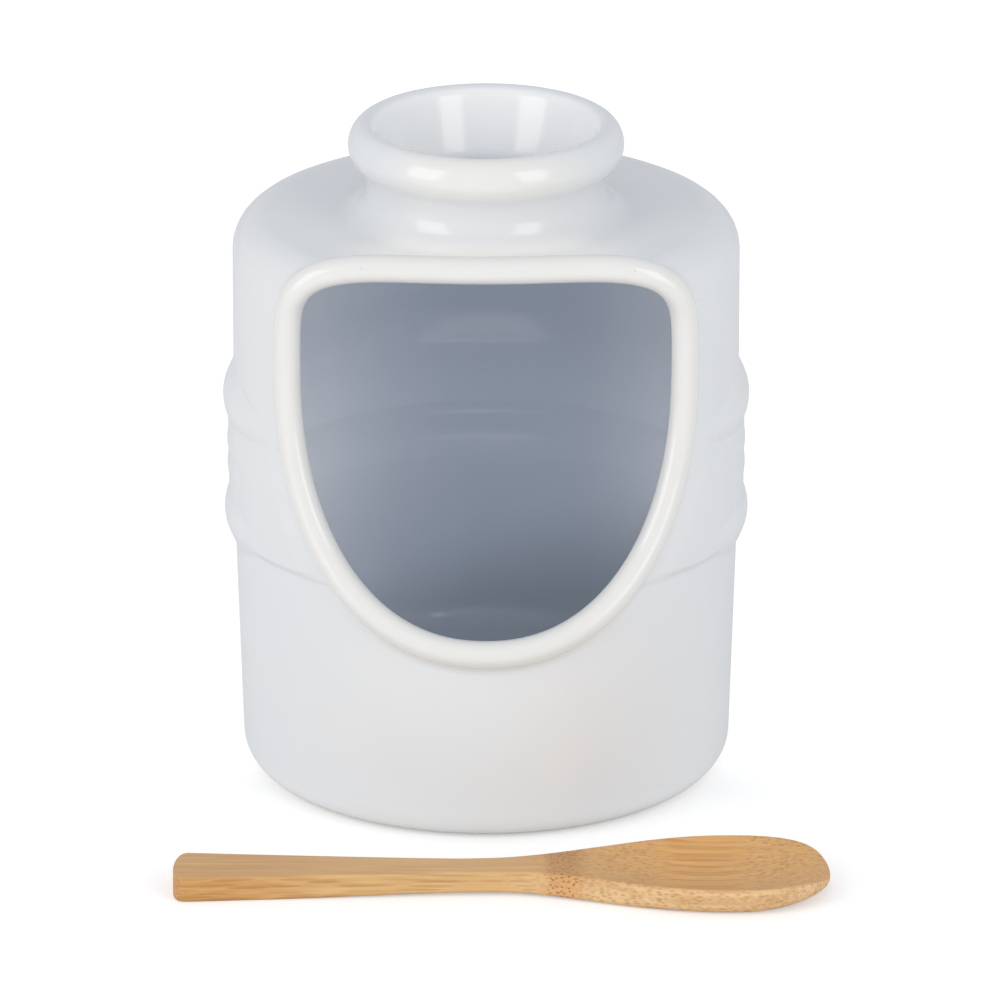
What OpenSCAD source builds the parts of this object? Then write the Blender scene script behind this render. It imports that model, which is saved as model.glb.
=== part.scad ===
// Salt pig: a glazed ceramic jar, cast in one piece with its scoop mouth, its ribbed band and
// its filler neck, and a loose bamboo spoon that lies on the table in front of it.
// Millimetres, +Z up. The mouth faces -Y. The origin is the middle of the foot, on the table.

/* [Body] */
// Diameter of the body just above its foot
foot_d = 107; // [102:0.5:109]
// Diameter of the body just below the ribbed band
low_d = 109.8; // [107:0.2:112]
// Diameter of the body above the ribbed band
up_d = 110.4; // [106:0.2:114]
// Height of the flat shoulder
shoulder_h = 127; // [122:0.5:134]
// Radius that rounds the shoulder into the wall
shoulder_round = 8; // [6.5:0.5:10]
// Thickness of the ceramic wall
wall = 5; // [4.5:0.25:6]
// Height of the inside floor above the table
floor_h = 11.5; // [9:0.5:15]
// Radius of the cove between the inside floor and the wall
floor_cove = 8; // [4:0.5:12]
// Radius that rounds the outside edge of the foot
foot_round = 8; // [2:0.5:10]
// Width of the flat ring that the body stands on
foot_ring = 5; // [3:0.5:9]
// Depth of the recess under the body, inside that ring
foot_recess = 3; // [1:0.5:5]

/* [Ribbed band] */
// Height of the lower bold ring
ring_low_z = 59.4; // [55:0.2:62]
// Height of the upper bold ring
ring_high_z = 85.8; // [82:0.2:92]
// How far a bold ring stands out from the wall
ring_proud = 2.4; // [1.6:0.1:3]
// Half of a bold ring's height, from its crest to the plain wall
ring_half = 7.8; // [6:0.2:9]
// How far the ground between the bold rings stands out from the wall
field_proud = 1.4; // [0.5:0.05:1.6]
// Number of fine ribs between the bold rings
rib_count = 2; // [1:1:4]
// Spacing of the fine ribs
rib_pitch = 5.5; // [3.5:0.1:6]
// How far a fine rib stands out from its ground
rib_proud = 0.25; // [0.1:0.05:0.6]
// Share of a bold ring that shows as a groove on the inside of the wall
groove_share = 0.5; // [0:0.05:0.6]

/* [Filler neck] */
// Diameter of the neck at its waist
neck_d = 52; // [48:0.5:56]
// Outside diameter of the rolled lip
lip_d = 60; // [58:0.5:63]
// Overall height, to the crest of the lip
total_h = 147.5; // [145:0.5:152]
// Height of the lip's widest point below its crest
lip_drop = 5; // [4:0.25:5.5]
// Radius of the lip's bulging outside
lip_bulge = 5.8; // [5.6:0.1:6.6]
// Radius of the lip's crest
lip_crest = 2.5; // [1.5:0.25:3]
// Radius of the cove between the shoulder and the neck
neck_cove = 6.2; // [5:0.2:7]
// Bore of the throat at the foot of the filler funnel
throat_d = 39; // [36:0.5:44]
// Radius that rounds the lower edge of the throat
throat_round = 2.4; // [1:0.2:3]

/* [Mouth] */
// Angle by which the mouth looks up from level
mouth_tilt = 20; // [16:1:24]
// Width of the mouth opening
mouth_w = 79.8; // [70:0.2:84]
// Height of the widest part of the mouth, square to the way that it looks
mouth_mid = 85.3; // [82:0.1:88]
// Depth of the rounded lower part of the mouth below its widest part
mouth_low = 59.2; // [50:0.2:64]
// Height of the squarer upper part of the mouth above its widest part
mouth_high = 18.5; // [14:0.2:19]
// Fullness of the lower curve, where 2 is an ellipse
mouth_low_power = 2.2; // [2:0.05:2.6]
// Fullness of the upper corners, where 2 is an ellipse
mouth_high_power = 5; // [4:0.1:7]
// How far the upper edge sags in its middle
mouth_sag = 1.2; // [0:0.1:1.5]
// Radius of the rolled rim that runs round the mouth
rim_r = 3; // [2:0.1:3.2]
// How far the rolled rim overhangs the cut edge of the wall
rim_overhang = 1.3; // [0.8:0.1:1.8]

/* [Spoon] */
// Length of the spoon
spoon_l = 141.5; // [130:0.5:150]
// Thickness of the strip that the spoon is cut from
spoon_t = 5.9; // [5:0.1:8]
// Width of the handle at its end
handle_w = 16; // [10:0.2:18]
// Width of the handle where it is narrowest
handle_waist = 8.8; // [7:0.2:12]
// Width of the bowl
bowl_w = 33; // [26:0.5:36]
// Depth of the bowl's hollow
bowl_depth = 3.6; // [2:0.1:4]
// Hollow cut under the middle of the handle
handle_lift = 1; // [0:0.1:2]
// Distance of the spoon's middle line in front of the body's axis
spoon_out = 78.6; // [78:0.2:120]
// Distance of the handle's end to the left of the body's axis
spoon_left = 67.6; // [40:0.2:100]

/* [Hidden] */

// Sizes that follow from those above
foot_r = foot_d / 2;
low_r = low_d / 2;
up_r = up_d / 2;
band_low = ring_low_z - ring_half;
band_high = ring_high_z + ring_half;
field_mid = (ring_low_z + ring_high_z) / 2;
field_half = rib_count * rib_pitch / 2;
band_step = 1;
shoulder_in = max(shoulder_round - wall, 1);
neck_r = neck_d / 2;
throat_r = throat_d / 2;
// Share of the neck's curves that fits between the shoulder and the crest of the lip
neck_fit = min(1, (total_h - shoulder_h) / (lip_drop + neck_cove + 1.05 * lip_bulge));
cove_r = neck_fit * neck_cove;
bulge_r = neck_fit * lip_bulge;
crest_r = neck_fit * lip_crest;
waist_z = shoulder_h + cove_r;
lip_z = total_h - neck_fit * lip_drop;
lip_mid = [lip_d / 2 - bulge_r, lip_z];
lip_in = neck_r - lip_mid[0];
lip_up = lip_z - waist_z;
under_r = (lip_in * lip_in + lip_up * lip_up - bulge_r * bulge_r) / (2 * (bulge_r - lip_in));
under_mid = [neck_r + under_r, waist_z];
under_a = atan2(lip_up, under_mid[0] - lip_mid[0]);
crest_a = asin((lip_drop - lip_crest) / (lip_bulge - lip_crest));
crest_mid = lip_mid + (bulge_r - crest_r) * [cos(crest_a), sin(crest_a)];
funnel = [throat_r, waist_z] - crest_mid;
funnel_a = 360 + atan2(funnel[1], funnel[0]) - acos(crest_r / norm(funnel));
mouth_half = mouth_w / 2;
mouth_steps = 108;
rim_sides = 14;
mouth_reach = 0.9 * total_h;
spoon_steps = 34;
hollow_steps = 8;
bilge_steps = 4;
$fn = 160;

// Smooth step from 0 to 1
function ease(t) = 0.5 - 0.5 * cos(180 * min(1, max(0, t)));

// Arch that is 1 at its middle and meets 0 at a distance of half with a crisp edge
function arch(d, half) = max(0, 1 - pow(d / half, 2));

// Section of a bold ring, full on the side of the ribs and soft on its outer side
function ring(d) = d < 0 ? arch(d, 0.8 * ring_half) : pow(arch(d, ring_half), 2);

// Rounded bump that is 1 at its middle and 0 at a distance of half
function bump(d, half) = abs(d) < half ? pow(cos(90 * d / half), 2) : 0;

// Points on an arc
function arc(mid, r, a0, a1, n) =
    [for (i = [0:n]) mid + r * [cos(a0 + (a1 - a0) * i / n), sin(a0 + (a1 - a0) * i / n)]];

// Radius of the plain wall, without the band
function wall_r(z) =
    z < foot_round ? foot_r :
    z < band_low ? foot_r + (low_r - foot_r) * (z - foot_round) / (band_low - foot_round) :
    z < band_high ? low_r + (up_r - low_r) * (z - band_low) / (band_high - band_low) :
    up_r;

// Radius of the plain outside, with the rounded shoulder
function skin_r(z) =
    z <= shoulder_h - shoulder_round ? wall_r(z) :
    up_r - shoulder_round + sqrt(max(0, pow(shoulder_round, 2) - pow(z - shoulder_h + shoulder_round, 2)));

// Relief of the two bold rings
function rings(z) = ring_proud * max(ring(ring_low_z - z), ring(z - ring_high_z));

// Relief of the fine ribs and of the ground that they stand on
function ribs(z) =
    z < ring_low_z || z > ring_high_z ? 0 :
    abs(z - field_mid) > field_half ? field_proud :
    field_proud + rib_proud * (0.5 - 0.5 * cos(360 * (z - field_mid + field_half) / rib_pitch));

// Heights at which the band is drawn
band_z = [for (z = [band_low:band_step:band_high - band_step / 2]) z];

// Outside of the vessel, from the middle of its foot to the crest of its lip
outside = concat(
    [[0, foot_recess]],
    [[foot_r - foot_round - foot_ring - foot_recess / 2, foot_recess]],
    [[foot_r - foot_round - foot_ring, 0]],
    arc([foot_r - foot_round, foot_round], foot_round, -90, 0, 6),
    [for (z = band_z) [wall_r(z) + max(rings(z), ribs(z)), z]],
    [[up_r, band_high]],
    arc([up_r - shoulder_round, shoulder_h - shoulder_round], shoulder_round, 0, 90, 10),
    arc([neck_r + cove_r, waist_z], cove_r, 270, 180, 8),
    arc(under_mid, under_r, 176, 180 - under_a, 5),
    arc(lip_mid, bulge_r, 4 - under_a, crest_a, 9),
    arc(crest_mid, crest_r, crest_a + 8, funnel_a, 9));

// Inside of the vessel, from the crest of its lip to the middle of its floor
inside = concat(
    [[throat_r, waist_z]],
    arc([throat_r + throat_round, shoulder_h - wall + throat_round], throat_round, 180, 270, 5),
    arc([up_r - wall - shoulder_in, shoulder_h - wall - shoulder_in], shoulder_in, 90, 0, 6),
    [for (i = [len(band_z) - 1:-1:0])
        let (z = band_z[i])
        [wall_r(z) - wall + groove_share * rings(z), z]],
    arc([wall_r(floor_h + floor_cove) - wall - floor_cove, floor_h + floor_cove], floor_cove, 0, -90, 8),
    [[0, floor_h]]);

// Point on the mouth's outline, widened by grow, in the plane square to the way that the mouth looks
function mouth_point(a, grow) =
    let (half = mouth_half + grow)
    let (tall = (sin(a) >= 0 ? mouth_high : mouth_low) + grow)
    let (power = sin(a) >= 0 ? mouth_high_power : mouth_low_power)
    let (reach = pow(pow(abs(cos(a)) / half, power) + pow(abs(sin(a)) / tall, power), -1 / power))
    let (u = reach * cos(a))
    let (sag = sin(a) > 0 ? mouth_sag * pow(cos(90 * u / half), 2) * ease(sin(a) * 2) : 0)
    [u, mouth_mid + reach * sin(a) - sag];

// Place in space of a point on that plane, carried out by w the way that the mouth looks
function mouth_place(p, w) =
    [p[0], p[1] * sin(mouth_tilt) - w * cos(mouth_tilt), p[1] * cos(mouth_tilt) + w * sin(mouth_tilt)];

// Whether a place lies within the plain outside of the body
function within(q) = q[2] < shoulder_h && norm([q[0], q[1]]) < skin_r(q[2]);

// How far a point is carried out until it meets the outside of the body
function carry(p, lo, hi, n) =
    n == 0 ? (lo + hi) / 2 :
    let (mid = (lo + hi) / 2)
    within(mouth_place(p, mid)) ? carry(p, mid, hi, n - 1) : carry(p, lo, mid, n - 1);

// Middle line of the rolled rim, on the outside of the body
rim_path = [for (i = [0:mouth_steps - 1])
    let (p = mouth_point(360 * i / mouth_steps, rim_r))
    mouth_place(p, carry(p, 0, mouth_reach, 40))];

// Direction of the rim's middle line at one step
function rim_way(i) =
    let (d = rim_path[(i + 1) % mouth_steps] - rim_path[(i + mouth_steps - 1) % mouth_steps])
    d / norm(d);

// Direction square to the rim's middle line, on the side of the opening
function rim_side(i) =
    let (look = [0, -cos(mouth_tilt), sin(mouth_tilt)])
    let (d = cross(look, rim_way(i)))
    d / norm(d);

// Points on the rim's round section
rim_points = [for (i = [0:mouth_steps - 1])
    let (side = rim_side(i))
    let (out = cross(rim_way(i), side))
    for (j = [0:rim_sides - 1])
        let (a = 360 * (j + 0.5) / rim_sides)
        rim_path[i] + rim_r * (cos(a) * side + sin(a) * out)];

// Triangles of the rim
rim_faces = [for (i = [0:mouth_steps - 1])
    let (a = i * rim_sides)
    let (b = ((i + 1) % mouth_steps) * rim_sides)
    for (j = [0:rim_sides - 1])
        let (k = (j + 1) % rim_sides)
        each [[a + j, b + j, b + k], [a + j, b + k, a + k]]];

// Distances along the spoon at which its section is drawn, closer together at its two ends
function spoon_at(i) = spoon_l * (0.5 - 0.5 * cos(180 * i / spoon_steps));

// Half width of the spoon
bowl_mid = 0.856 * spoon_l;
waist_at = 0.44 * spoon_l;
end_round = 5.5;
function spoon_half(x) =
    let (taper = pow(max(0, 1 - x / waist_at), 1.25))
    let (handle = handle_waist / 2 + (handle_w - handle_waist) / 2 * taper)
    let (clip = x < end_round ? end_round * (1 - sqrt(1 - pow(1 - x / end_round, 2))) : 0)
    let (swell = ease((x - waist_at - 6) / (bowl_mid - waist_at - 8)))
    let (nose = x > bowl_mid ? min(1, (x - bowl_mid) / (spoon_l - bowl_mid)) : 0)
    x < bowl_mid ?
        handle - clip + (bowl_w - handle_waist) / 2 * swell :
        bowl_w / 2 * max(0.06, pow(1 - pow(nose, 2.3), 1 / 2.3));

// Height of the spoon's underside above the table
function spoon_under(x) =
    handle_lift * bump(x - 0.46 * spoon_l, 0.33 * spoon_l)
    + (x > bowl_mid ? 0.46 * spoon_t * pow((x - bowl_mid) / (spoon_l - bowl_mid), 2) : 0);

// Depth of the hollow in the top of the bowl
hollow_mid = 0.815 * spoon_l;
hollow_half = 0.185 * spoon_l;
function spoon_hollow(x) = bowl_depth * max(0, 1 - pow((x - hollow_mid) / hollow_half, 2));

// Section of the spoon at one distance, once round from its right upper edge
function spoon_ring(x) =
    let (half = spoon_half(x))
    let (low = spoon_under(x))
    let (boat = ease((x / spoon_l - 0.58) / 0.22))
    let (bilge_w = min(half * 0.7, 0.9 + boat * 0.08 * half))
    let (edge = min(0.5, half * 0.3))
    let (bilge_h = min(0.9 + boat * 0.8, 0.7 * (spoon_t - edge - low)))
    let (top = half - edge)
    concat(
        [for (i = [0:hollow_steps])
            let (y = top * (1 - 2 * i / hollow_steps))
            [x, y, spoon_t - spoon_hollow(x) * (1 - pow(y / top, 2))]],
        [[x, -half, spoon_t - edge]],
        [for (i = [0:bilge_steps])
            let (a = 90 * i / bilge_steps)
            [x, -half + bilge_w * (1 - cos(a)), low + bilge_h * (1 - sin(a))]],
        [for (i = [bilge_steps:-1:0])
            let (a = 90 * i / bilge_steps)
            [x, half - bilge_w * (1 - cos(a)), low + bilge_h * (1 - sin(a))]],
        [[x, half, spoon_t - edge]]);

// Points of the spoon's sections, then the middle of its two end faces
spoon_points = concat(
    [for (i = [0:spoon_steps]) each spoon_ring(spoon_at(i))],
    [[0, 0, 0.6 * spoon_t], [spoon_l, 0, 0.8 * spoon_t]]);
ring_n = len(spoon_ring(0));
end_n = (spoon_steps + 1) * ring_n;

// Triangles of the spoon
spoon_faces = [for (j = [0:ring_n - 1])
    let (k = (j + 1) % ring_n)
    let (last = spoon_steps * ring_n)
    each concat(
        [[end_n, j, k], [end_n + 1, last + k, last + j]],
        [for (a = [0:ring_n:last - ring_n])
            each [[a + j, a + ring_n + j, a + ring_n + k], [a + j, a + ring_n + k, a + k]]])];

// Way through the front wall, cut along the way that the mouth looks
module mouth_cut() {
    rotate([90 - mouth_tilt, 0, 0])
        linear_extrude(mouth_reach)
            polygon([for (i = [0:mouth_steps - 1]) mouth_point(360 * i / mouth_steps, rim_overhang)]);
}

// Ceramic jar with its band, neck and rolled mouth rim
module vessel() {
    color("whitesmoke") {
        difference() {
            rotate_extrude() polygon(concat(outside, inside));
            mouth_cut();
        }
        polyhedron(rim_points, rim_faces);
    }
}

// Bamboo spoon, handle to the left
module spoon() {
    color("burlywood")
        translate([-spoon_left, -spoon_out, 0])
            polyhedron(spoon_points, spoon_faces);
}

vessel();
spoon();
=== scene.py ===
import math
import bmesh
import bpy
import numpy as np
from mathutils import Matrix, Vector


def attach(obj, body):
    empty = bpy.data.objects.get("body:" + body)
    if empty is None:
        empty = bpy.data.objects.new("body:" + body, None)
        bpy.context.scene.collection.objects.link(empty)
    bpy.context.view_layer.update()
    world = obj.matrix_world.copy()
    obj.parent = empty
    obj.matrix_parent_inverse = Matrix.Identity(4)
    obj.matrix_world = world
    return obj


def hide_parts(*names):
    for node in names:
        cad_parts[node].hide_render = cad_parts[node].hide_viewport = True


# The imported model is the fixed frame; sizes below are millimetres and become metres in the meshes
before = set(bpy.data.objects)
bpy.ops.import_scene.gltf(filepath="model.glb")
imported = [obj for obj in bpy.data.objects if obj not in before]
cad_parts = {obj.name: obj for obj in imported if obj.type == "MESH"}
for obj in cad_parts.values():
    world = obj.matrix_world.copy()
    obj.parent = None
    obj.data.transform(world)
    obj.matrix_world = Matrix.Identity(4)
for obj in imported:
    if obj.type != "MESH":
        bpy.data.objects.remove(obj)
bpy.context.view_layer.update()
MM = 0.001

# Sizes of the jar
FOOT_R, LOW_R, UP_R = 53.5, 54.9, 55.2
SHOULDER_H, SHOULDER_ROUND = 127.0, 8.0
WALL, FLOOR_H, FLOOR_COVE = 5.0, 11.5, 8.0
FOOT_ROUND, FOOT_RING, FOOT_RECESS = 8.0, 5.0, 3.0
RING_LOW, RING_HIGH, RING_PROUD, RING_HALF = 59.4, 85.8, 2.39, 7.8
FIELD_PROUD, RIB_COUNT, RIB_PITCH, RIB_PROUD, GROOVE_SHARE = 1.4, 2, 5.5, 0.25, 0.25
NECK_R, LIP_R, TOTAL_H, LIP_DROP = 26.0, 30.0, 147.5, 5.0
LIP_BULGE, LIP_CREST, NECK_COVE, THROAT_R, THROAT_ROUND = 5.8, 2.5, 6.2, 19.5, 2.4

# Sizes of the mouth
TILT = math.radians(20.0)
MOUTH_HALF, MOUTH_MID, MOUTH_LOW, MOUTH_HIGH = 39.9, 85.3, 59.2, 18.5
LOW_POWER, HIGH_POWER, MOUTH_SAG, RIM_R = 2.2, 5.0, 1.2, 3.0
RIM_FILLET, RIM_OVERHANG = 2.4, 1.3
CUT_ROUND, RELIEF_FADE, FILLET_PULL = 1.6, 5.0, 0.36

# How the band sinks beside the mouth, by the angle from the front in degrees: a wide step and a deep one
SINK_WIDE, WIDE_FROM, WIDE_OVER = 1.7, 80, 20
SINK_DEEP, DEEP_FROM, DEEP_OVER = 1.0, 62, 10

# The low panel that is left there: the heights where it starts, rises, falls and ends, and its reach in degrees
PANEL_START, PANEL_EDGE, PANEL_CLIMB, CLIMB_FROM, CLIMB_OVER = 55.4, 1.5, 0.7, 70, 24
PANEL_BASE, PANEL_RISE, RISE_AT, RISE_OVER = 0.75, 0.35, 57, 10
PANEL_FALL, FALL_AT, END_AT, FALL_OVER = 0.75, 74, 83, 9
PANEL_FROM, PANEL_OVER = 84, 14
BAND_MARGIN, BAND_BLEND, PANEL_BLEND = 3, 0.25, 0.2
RING_INNER, RING_TAIL = 0.8, 0.15

# Finger mark in the lining as steps of depth, height and length, and its reach from the back in degrees
MARK = ((0.26, 56.2, 1.5), (-0.40, 57.8, 5.0), (0.20, 62.4, 1.3), (-0.06, 63.8, 2.0))
MARK_FROM, MARK_OVER = 160, 12

# Foot ring's small roundings, and how the surfaces are sampled
RECESS_IN, RECESS_ROUND, RING_EDGE, FLAT_STEP = 2.0, 1.25, 0.6, 2.5
SKIN_STEPS, LINING_STEPS, RAW_STEPS, RIM_STEPS = 700, 600, 9600, 2400
NUDGE_S, NUDGE_THETA = 0.25, 0.004
RAY_LENGTH, HALVINGS = 130.0, 48

BAND_LOW, BAND_HIGH = RING_LOW - RING_HALF, RING_HIGH + RING_HALF
FIELD_MID, FIELD_HALF = (RING_LOW + RING_HIGH) / 2, RIB_COUNT * RIB_PITCH / 2
WAIST_Z = SHOULDER_H + NECK_COVE


def ease(t):
    return 0.5 - 0.5 * np.cos(np.pi * np.clip(t, 0, 1))


def bump(d, half):
    return np.where(np.abs(d) < half, np.cos(np.pi / 2 * np.clip(d / half, -1, 1)) ** 2, 0.0)


def arc(mid, r, a0, a1, step=0.15):
    n = max(4, int(abs(math.radians(a1 - a0)) * r / step))
    a = np.radians(np.linspace(a0, a1, n + 1))
    return np.stack([mid[0] + r * np.cos(a), mid[1] + r * np.sin(a)], 1)


def line(a, b, step=0.2):
    n = max(2, int(math.dist(a, b) / step))
    t = np.linspace(0, 1, n + 1)[:, None]
    return np.array(a) * (1 - t) + np.array(b) * t


def polar(degrees):
    return np.array([math.cos(math.radians(degrees)), math.sin(math.radians(degrees))])


def unit(v):
    return v / np.linalg.norm(v, axis=-1, keepdims=True)


def from_front(theta):
    """Angle from the front, 0 to 180 degrees"""
    return np.degrees(np.abs((theta + np.pi) % (2 * np.pi) - np.pi))


def wall_r(z):
    z = np.asarray(z, float)
    low = FOOT_R + (LOW_R - FOOT_R) * (z - FOOT_ROUND) / (BAND_LOW - FOOT_ROUND)
    mid = LOW_R + (UP_R - LOW_R) * (z - BAND_LOW) / (BAND_HIGH - BAND_LOW)
    return np.where(z < FOOT_ROUND, FOOT_R, np.where(z < BAND_LOW, low, np.where(z < BAND_HIGH, mid, UP_R)))


def soft_max(a, b, k):
    h = np.clip(0.5 + 0.5 * (a - b) / k, 0, 1)
    return b * (1 - h) + a * h + k * h * (1 - h)


def ring(d):
    """Section of a bold ring, full on the side of the ribs and soft on its outer side"""
    full = 1 - (d / (RING_INNER * RING_HALF)) ** 2
    soft = np.clip(1 - (d / RING_HALF) ** 2, 0, 1) ** 2 - RING_TAIL * np.maximum(0, d - RING_HALF)
    return np.where(d < 0, full, soft)


def rings(z):
    """Relief of the two bold rings; it runs on below the wall outside them"""
    return RING_PROUD * np.maximum(ring(RING_LOW - z), ring(z - RING_HIGH))


def ribs(z):
    d = z - FIELD_MID
    rib = RIB_PROUD * (0.5 - 0.5 * np.cos(2 * np.pi * (d + FIELD_HALF) / RIB_PITCH)) * (np.abs(d) < FIELD_HALF)
    return np.where((z < RING_LOW) | (z > RING_HIGH), 0.0, FIELD_PROUD + rib)


def relief(theta, z):
    """Full band round the back and the sides, sinking to a low panel on both sides of the mouth"""
    turn = from_front(theta)
    field = (z > RING_LOW) & (z < RING_HIGH)
    band = np.where(field, soft_max(rings(z), ribs(z), BAND_BLEND), rings(z))
    sink = SINK_WIDE * ease((WIDE_FROM - turn) / WIDE_OVER) + SINK_DEEP * ease((DEEP_FROM - turn) / DEEP_OVER)
    low = PANEL_START + PANEL_CLIMB * ease((CLIMB_FROM - turn) / CLIMB_OVER)
    panel = ease((z - low) / PANEL_EDGE) * (PANEL_BASE + PANEL_RISE * ease((z - RISE_AT) / RISE_OVER))
    panel = panel * (1 - PANEL_FALL * ease((z - FALL_AT) / FALL_OVER))
    panel = panel * (1 - ease((z - END_AT) / FALL_OVER)) * ease((PANEL_FROM - turn) / PANEL_OVER)
    near_band = (z > BAND_LOW - BAND_MARGIN) & (z < BAND_HIGH + BAND_MARGIN)
    return soft_max(band - sink, panel, PANEL_BLEND) * near_band


class Profile:
    """A line of (radius, height) points with its length along it"""

    def __init__(self, *runs):
        pts = [np.asarray(runs[0], float)]
        for r in runs[1:]:
            r = np.asarray(r, float)
            pts.append(r[1:] if np.allclose(r[0], pts[-1][-1], atol=1e-6) else r)
        p = np.concatenate(pts)
        keep = np.r_[True, np.linalg.norm(np.diff(p, axis=0), axis=1) > 1e-7]
        self.p = p[keep]
        self.s = np.r_[0, np.cumsum(np.linalg.norm(np.diff(self.p, axis=0), axis=1))]

    def at(self, s):
        return np.stack([np.interp(s, self.s, self.p[:, 0]), np.interp(s, self.s, self.p[:, 1])], -1)

    def nearest(self, rz):
        rz = np.atleast_2d(rz)
        out = np.empty(len(rz))
        for i in range(0, len(rz), 256):
            d = ((rz[i:i + 256, None, :] - self.p[None]) ** 2).sum(2)
            out[i:i + 256] = self.s[d.argmin(1)]
        return out

    def normal(self, s):
        d = unit(self.at(s + NUDGE_S) - self.at(s - NUDGE_S))
        return np.stack([d[..., 1], -d[..., 0]], -1)


# Outside line from just above the foot's rounding to the start of the neck, without the band
z_wall = np.linspace(FOOT_ROUND, SHOULDER_H - SHOULDER_ROUND, SKIN_STEPS)
skin = Profile(
    np.stack([wall_r(z_wall), z_wall], 1),
    arc((UP_R - SHOULDER_ROUND, SHOULDER_H - SHOULDER_ROUND), SHOULDER_ROUND, 0, 90),
    line((UP_R - SHOULDER_ROUND, SHOULDER_H), (NECK_R + NECK_COVE, SHOULDER_H)))

# Line under the foot, from its middle out to the wall
ring_out = FOOT_R - FOOT_ROUND
ring_in = ring_out - FOOT_RING
sole = Profile(
    line((0.0, FOOT_RECESS), (ring_in - RECESS_IN, FOOT_RECESS), FLAT_STEP),
    arc((ring_in - RECESS_IN, FOOT_RECESS - RECESS_ROUND), RECESS_ROUND, 90, 10),
    arc((ring_in + RING_EDGE, RING_EDGE), RING_EDGE, 200, 270),
    line((ring_in + RING_EDGE, 0.0), (ring_out, 0.0)),
    arc((ring_out, FOOT_ROUND), FOOT_ROUND, -90, 0))

# Line over the neck, from the shoulder over the lip and down the funnel to the underside of the shoulder
lip_z = TOTAL_H - LIP_DROP
lip_mid = np.array([LIP_R - LIP_BULGE, lip_z])
lip_in, lip_up = NECK_R - lip_mid[0], lip_z - WAIST_Z
under_r = (lip_in ** 2 + lip_up ** 2 - LIP_BULGE ** 2) / (2 * (LIP_BULGE - lip_in))
under_mid = np.array([NECK_R + under_r, WAIST_Z])
under_a = math.degrees(math.atan2(lip_up, under_mid[0] - lip_mid[0]))
crest_a = math.degrees(math.asin((LIP_DROP - LIP_CREST) / (LIP_BULGE - LIP_CREST)))
crest_mid = lip_mid + (LIP_BULGE - LIP_CREST) * polar(crest_a)
funnel = np.array([THROAT_R, WAIST_Z]) - crest_mid
funnel_a = 360 + math.degrees(math.atan2(funnel[1], funnel[0]) - math.acos(LIP_CREST / np.linalg.norm(funnel)))
funnel_top = crest_mid + LIP_CREST * polar(funnel_a)
neck = Profile(
    arc((NECK_R + NECK_COVE, WAIST_Z), NECK_COVE, 270, 180),
    arc(under_mid, under_r, 180, 180 - under_a),
    arc(lip_mid, LIP_BULGE, -under_a, crest_a),
    arc(crest_mid, LIP_CREST, crest_a, funnel_a),
    line(funnel_top, (THROAT_R, WAIST_Z)),
    line((THROAT_R, WAIST_Z), (THROAT_R, SHOULDER_H - WALL + THROAT_ROUND)),
    arc((THROAT_R + THROAT_ROUND, SHOULDER_H - WALL + THROAT_ROUND), THROAT_ROUND, 180, 270))

# Inside line from the throat down to the middle of the floor, without the grooves
in_round = SHOULDER_ROUND - WALL
z_in = np.linspace(SHOULDER_H - WALL - in_round, FLOOR_H + FLOOR_COVE, LINING_STEPS)
cove_r = float(wall_r(FLOOR_H + FLOOR_COVE)) - WALL - FLOOR_COVE
lining = Profile(
    line((THROAT_R + THROAT_ROUND, SHOULDER_H - WALL), (UP_R - WALL - in_round, SHOULDER_H - WALL)),
    arc((UP_R - WALL - in_round, SHOULDER_H - WALL - in_round), in_round, 90, 0),
    np.stack([wall_r(z_in) - WALL, z_in], 1),
    arc((cove_r, FLOOR_H + FLOOR_COVE), FLOOR_COVE, 0, -90),
    line((cove_r, FLOOR_H), (0.0, FLOOR_H), FLAT_STEP))


def spin(rz, theta):
    """Places a profile point on the jar; theta 0 is the front"""
    return np.stack([rz[..., 0] * np.sin(theta), -rz[..., 0] * np.cos(theta), rz[..., 1]], -1)


def outer(theta, s, fade=1.0):
    rz = skin.at(s)
    rz[..., 0] += fade * relief(theta, rz[..., 1]) * (s < skin_wall_end)
    return spin(rz, theta)


def ripple(theta, z):
    """A finger mark in the groove behind the lower ring, at the back of the chamber"""
    mark = sum(depth * ease((z - start) / length) for depth, start, length in MARK)
    return mark * ease((from_front(theta) - MARK_FROM) / MARK_OVER)


def inner(theta, s, fade=1.0):
    rz = lining.at(s)
    groove = GROOVE_SHARE * soft_max(rings(rz[..., 1]), 0.0, BAND_BLEND) + ripple(theta, rz[..., 1])
    rz[..., 0] += fade * groove * (s > lining_wall_start)
    return spin(rz, theta)


skin_wall_end = float(skin.nearest([[UP_R, SHOULDER_H - SHOULDER_ROUND]])[0])
lining_wall_start = float(lining.nearest([[UP_R - WALL, SHOULDER_H - WALL - in_round]])[0])


# Mouth outline, and where it lands on the outside of the jar
def mouth_outline(a, grow):
    c, s = np.cos(a), np.sin(a)
    half = MOUTH_HALF + grow
    tall = np.where(s >= 0, MOUTH_HIGH, MOUTH_LOW) + grow
    power = np.where(s >= 0, HIGH_POWER, LOW_POWER)
    reach = ((np.abs(c) / half) ** power + (np.abs(s) / tall) ** power) ** (-1 / power)
    u = reach * c
    sag = np.where(s > 0, MOUTH_SAG * np.cos(np.pi / 2 * u / half) ** 2 * ease(s * 2), 0.0)
    return u, MOUTH_MID + reach * s - sag


def from_mouth(v, w):
    """Depth and height of a point at v up the mouth's tilted plane and w out of it"""
    return v * math.sin(TILT) - w * math.cos(TILT), v * math.cos(TILT) + w * math.sin(TILT)


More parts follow.
